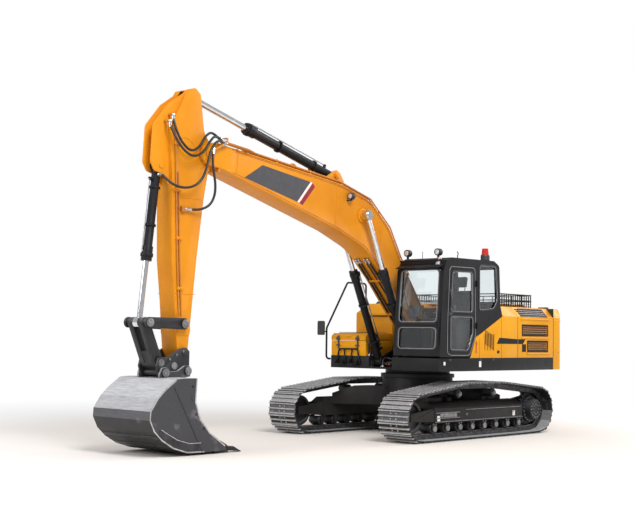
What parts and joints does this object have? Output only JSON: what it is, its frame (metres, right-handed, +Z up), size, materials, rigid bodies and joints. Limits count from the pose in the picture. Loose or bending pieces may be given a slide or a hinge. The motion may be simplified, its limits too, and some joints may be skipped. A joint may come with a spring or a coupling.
{
  "type": "crawler excavator",
  "caption": "Crawler excavator on two tracks with a slewing house, side cab, bent boom, arm, hydraulic cylinders, quick coupler and toothed digging bucket.",
  "frame": {"origin": "on the ground under the middle of the whole machine's length and width, bucket on the ground", "axes": "+X along the boom towards the bucket, +Y to the cab's side, +Z up"},
  "size_m": [9.41, 2.98, 5.1341],
  "materials": {
    "yellow_paint": "gloss",
    "black_paint": "satin",
    "track_steel": "worn",
    "bucket_steel": "worn",
    "chrome_rod": "polished",
    "cab_glass": "clear",
    "seat_fabric": "woven",
    "black_plastic": "grained",
    "beacon_red": "clear moulded"
  },
  "bodies": {
    "undercarriage": {"carbody": "black_paint", "track_frame_left": "black_paint", "track_frame_right": "black_paint", "track_left": "track_steel", "track_right": "track_steel", "final_drives": "track_steel", "idlers": "track_steel", "track_rollers": "track_steel", "carrier_rollers": "track_steel", "slewing_ring": "black_paint"},
    "house": {"house_frame": "black_paint", "counterweight": "yellow_paint", "left_front_panel": "yellow_paint", "right_tanks": "yellow_paint", "toolbox": "yellow_paint", "engine_block": "yellow_paint", "bulkhead": "black_paint", "control_valve": "black_paint", "swing_motor": "black_paint", "cab_shell": "black_paint", "operator_seat": "seat_fabric", "seat_base": "black_paint", "cab_glass": "cab_glass", "cab_controls": "black_plastic", "roof_lights": "black_plastic", "beacon": "beacon_red", "handrails": "black_paint", "right_mirror": "black_plastic"},
    "cab_door": {"cab_door": "black_paint", "door_glass": "cab_glass"},
    "left_rear_door": {"left_rear_door": "yellow_paint"},
    "right_rear_door": {"right_rear_door": "yellow_paint"},
    "hood": {"hood": "yellow_paint", "hood_guard": "black_paint"},
    "toolbox_lid": {"toolbox_lid": "yellow_paint"},
    "boom": {"boom": "yellow_paint", "boom_bosses": "yellow_paint", "boom_lamp": "black_plastic", "boom_pipes": "yellow_paint", "upper_hose": "black_plastic", "outer_hose": "black_plastic", "bucket_hose": "black_plastic", "arm_hose": "black_plastic"},
    "boom_barrels": {"boom_cylinder_barrels": "black_paint"},
    "boom_rods": {"boom_cylinder_rods": "chrome_rod"},
    "arm_barrel": {"arm_cylinder_barrel": "black_paint"},
    "arm_rod": {"arm_cylinder_rod": "chrome_rod"},
    "arm": {"arm": "yellow_paint", "arm_pipes": "yellow_paint", "far_hose": "black_plastic"},
    "bucket_barrel": {"bucket_cylinder_barrel": "black_paint"},
    "bucket_rod": {"bucket_cylinder_rod": "chrome_rod"},
    "rocker": {"rocker_links": "bucket_steel"},
    "h_link": {"h_link": "bucket_steel"},
    "bucket": {"quick_coupler": "bucket_steel", "bucket": "bucket_steel", "bucket_teeth": "bucket_steel"}
  },
  "joints": [
    {"name": "house_swing", "type": "hinge", "parent": "undercarriage", "child": "house", "pos_m": [-1.825, 0, 1], "axis": [0, 0, 1], "continuous": true},
    {"name": "boom_lift", "type": "hinge", "parent": "house", "child": "boom", "pos_m": [-1.751, 0, 1.791], "axis": [0, -1, 0], "range_deg": [-60, 43]},
    {"name": "arm_swing", "type": "hinge", "parent": "boom", "child": "arm", "pos_m": [3.385, 0, 4.23], "axis": [0, 1, 0], "range_deg": [-86, 34], "deforming": ["upper_hose", "outer_hose", "bucket_hose", "arm_hose"]},
    {"name": "bucket_curl", "type": "hinge", "parent": "arm", "child": "bucket", "pos_m": [3.765, 0, 1.37], "axis": [0, 1, 0], "range_deg": [-70, 95]},
    {"name": "boom_cylinder_pivot", "type": "hinge", "parent": "house", "child": "boom_barrels", "pos_m": [-1.165, 0, 1.22], "axis": [0, -1, 0], "range_deg": [-57.17, 41.11]},
    {"name": "boom_cylinder_slide", "type": "slide", "parent": "boom_barrels", "child": "boom_rods", "axis": [0.4291, 0, 0.9033], "range_m": [-0.772, 0.5547]},
    {"name": "arm_cylinder_pivot", "type": "hinge", "parent": "boom", "child": "arm_barrel", "pos_m": [0.515, 0, 4.225], "axis": [0, 1, 0], "range_deg": [-3, 1.49]},
    {"name": "arm_cylinder_slide", "type": "slide", "parent": "arm_barrel", "child": "arm_rod", "axis": [0.9673, 0, 0.2535], "range_m": [-1.0887, 0.4334]},
    {"name": "bucket_cylinder_pivot", "type": "hinge", "parent": "arm", "child": "bucket_barrel", "pos_m": [4.175, 0, 3.97], "axis": [0, 1, 0], "range_deg": [-2.74, 3.54]},
    {"name": "bucket_cylinder_slide", "type": "slide", "parent": "bucket_barrel", "child": "bucket_rod", "axis": [0.1139, 0, -0.9935], "range_m": [-0.4631, 0.6267]},
    {"name": "rocker_pivot", "type": "hinge", "parent": "arm", "child": "rocker", "pos_m": [3.815, 0, 1.78], "axis": [0, 1, 0], "range_deg": [-52.25, 70.74]},
    {"name": "h_link_pivot", "type": "hinge", "parent": "bucket", "child": "h_link", "pos_m": [4.185, 0, 1.24], "axis": [0, 1, 0], "range_deg": [-67.68, 50]},
    {"name": "cab_door_swing", "type": "hinge", "parent": "house", "child": "cab_door", "pos_m": [-1.63, 1.386, 2], "axis": [0, 0, 1], "range_deg": [0, 165]},
    {"name": "left_rear_door_swing", "type": "hinge", "parent": "house", "child": "left_rear_door", "pos_m": [-4.069, 1.364, 1.75], "axis": [0, 0, 1], "range_deg": [0, 100]},
    {"name": "right_rear_door_swing", "type": "hinge", "parent": "house", "child": "right_rear_door", "pos_m": [-4.069, -1.364, 1.75], "axis": [0, 0, -1], "range_deg": [0, 100]},
    {"name": "hood_lift", "type": "hinge", "parent": "house", "child": "hood", "pos_m": [-4.069, 0, 2.204], "axis": [0, -1, 0], "range_deg": [0, 75]},
    {"name": "toolbox_lid_lift", "type": "hinge", "parent": "house", "child": "toolbox_lid", "pos_m": [-1.697, -0.885, 1.707], "axis": [0, -1, 0], "range_deg": [0, 80]}
  ],
  "couplings": [
    {"joint": "boom_cylinder_pivot", "follows": "boom_lift", "ratio": 0.94446},
    {"joint": "boom_cylinder_slide", "follows": "boom_lift", "m_per_rad": 0.73247},
    {"joint": "arm_cylinder_pivot", "follows": "arm_swing", "ratio": 0.029131},
    {"joint": "arm_cylinder_slide", "follows": "arm_swing", "m_per_rad": 0.72197},
    {"joint": "bucket_cylinder_pivot", "follows": "bucket_curl", "ratio": 0.032049},
    {"joint": "bucket_cylinder_slide", "follows": "bucket_curl", "m_per_rad": 0.37493},
    {"joint": "rocker_pivot", "follows": "bucket_curl", "ratio": 0.73933},
    {"joint": "h_link_pivot", "follows": "bucket_curl", "ratio": -0.70711}
  ]
}
